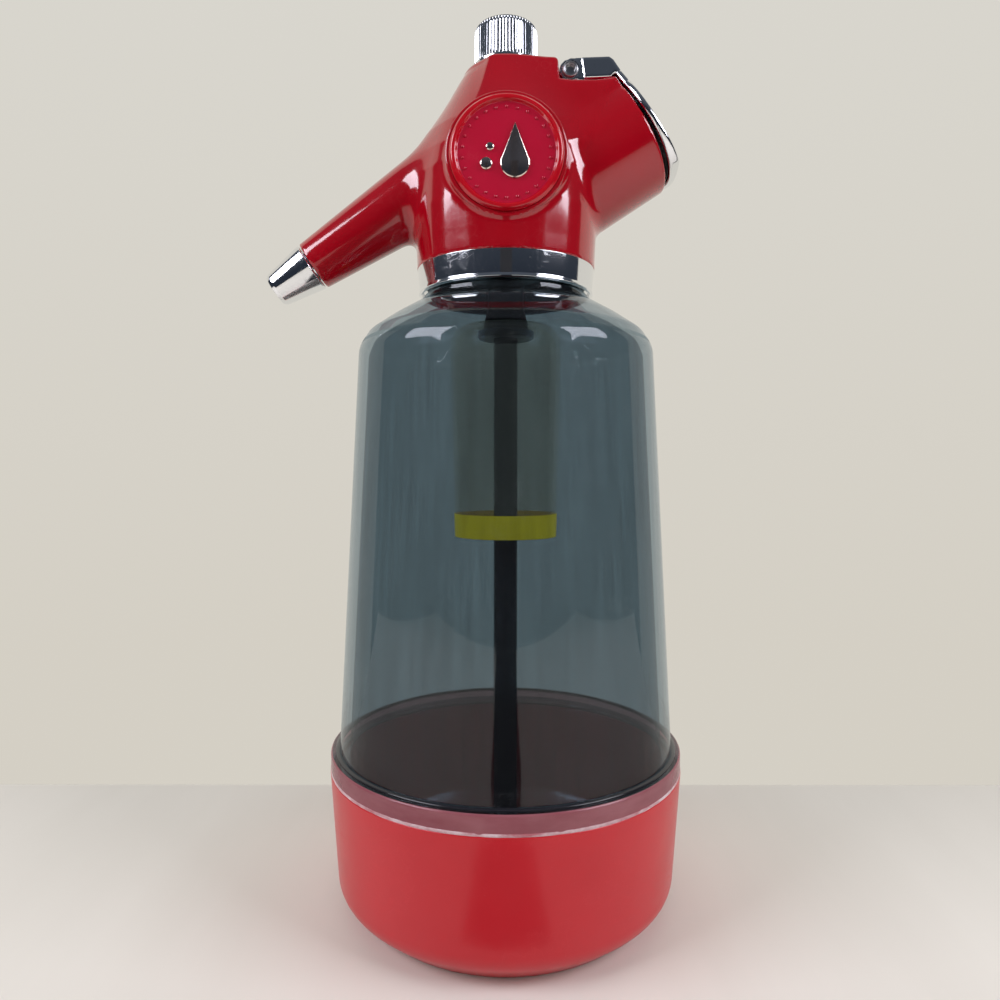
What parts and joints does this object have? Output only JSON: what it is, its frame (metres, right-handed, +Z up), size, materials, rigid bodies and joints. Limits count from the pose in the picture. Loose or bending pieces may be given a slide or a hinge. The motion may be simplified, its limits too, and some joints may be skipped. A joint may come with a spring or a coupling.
{
  "type": "soda siphon",
  "caption": "Soda siphon: a smoked pressure vessel in a red cup, with a screw-on red lever head, slanted spout, squeeze lever and knurled charging cap.",
  "frame": {"origin": "centre of the flat underside of the base cup", "axes": "+Z up along the vessel's axis, -Y towards the front with the badge, -X towards the spout, +X towards the lever"},
  "size_m": [0.1469, 0.1244, 0.307],
  "materials": {
    "cup_red": "satin gloss red moulding",
    "head_red": "deep red gloss moulding",
    "badge_red": "crimson gloss",
    "smoke": "clear blue-grey smoke moulding",
    "clear_tube": "clear smoky moulding",
    "black_plastic": "black moulding",
    "rubber_black": "black rubber",
    "chrome": "bright chrome",
    "brass": "turned brass",
    "steel": "steel",
    "white_plastic": "white moulding"
  },
  "bodies": {
    "vessel": {"base_cup": "cup_red", "vessel_bottom": "smoke", "vessel_body": "smoke"},
    "tube_set": {"neck_gasket": "rubber_black", "tube_holder": "black_plastic", "measuring_tube": "clear_tube", "riser_tube": "black_plastic", "riser_foot": "black_plastic"},
    "head": {"head_shell": "head_red", "collar": "chrome", "valve_block": "white_plastic", "valve_seat": "brass", "gland_seal": "rubber_black", "gland_nut": "brass", "valve_spring": "steel", "spout_tube": "white_plastic", "spout_grommet": "rubber_black", "nozzle": "chrome", "charging_stem": "brass", "stem_oring": "rubber_black", "check_sleeve": "rubber_black", "stem_filter": "brass", "piercing_pin": "steel", "stem_nut": "steel", "badge_disc": "badge_red", "badge_emblem": "chrome", "badge_screw": "steel", "lever_pin": "steel"},
    "lever": {"lever": "chrome", "lever_liner": "black_plastic"},
    "plunger": {"plunger": "steel", "plunger_washer": "rubber_black"},
    "cap_seal": {"cap_washer": "rubber_black"},
    "cap": {"charging_cap": "chrome"}
  },
  "joints": [
    {"name": "head_rise", "type": "slide", "parent": "vessel", "child": "tube_set", "axis": [0, 0, 1], "range_m": [0, 0.011]},
    {"name": "head_turn", "type": "hinge", "parent": "tube_set", "child": "head", "pos_m": [0, 0, 0.2295], "axis": [0, 0, 1], "range_deg": [0, 990]},
    {"name": "lever_squeeze", "type": "hinge", "parent": "head", "child": "lever", "pos_m": [0.0214, 0, 0.2864], "axis": [0, 1, 0], "range_deg": [0, 2], "stiffness_Nm_per_rad": 1.2, "springref_deg": -20.05},
    {"name": "plunger_slide", "type": "slide", "parent": "head", "child": "plunger", "axis": [-0.8377, 0, -0.5461], "range_m": [0, 0.00097], "deforming": ["valve_spring"]},
    {"name": "cap_rise", "type": "slide", "parent": "head", "child": "cap_seal", "axis": [0, 0, 1], "range_m": [0, 0.009]},
    {"name": "cap_turn", "type": "hinge", "parent": "cap_seal", "child": "cap", "pos_m": [0, 0, 0.2922], "axis": [0, 0, 1], "range_deg": [0, 2160]}
  ],
  "couplings": [
    {"joint": "head_rise", "follows": "head_turn", "m_per_rad": 0.00063662},
    {"joint": "plunger_slide", "follows": "lever_squeeze", "m_per_rad": 0.0276},
    {"joint": "cap_rise", "follows": "cap_turn", "m_per_rad": 0.00023873}
  ]
}
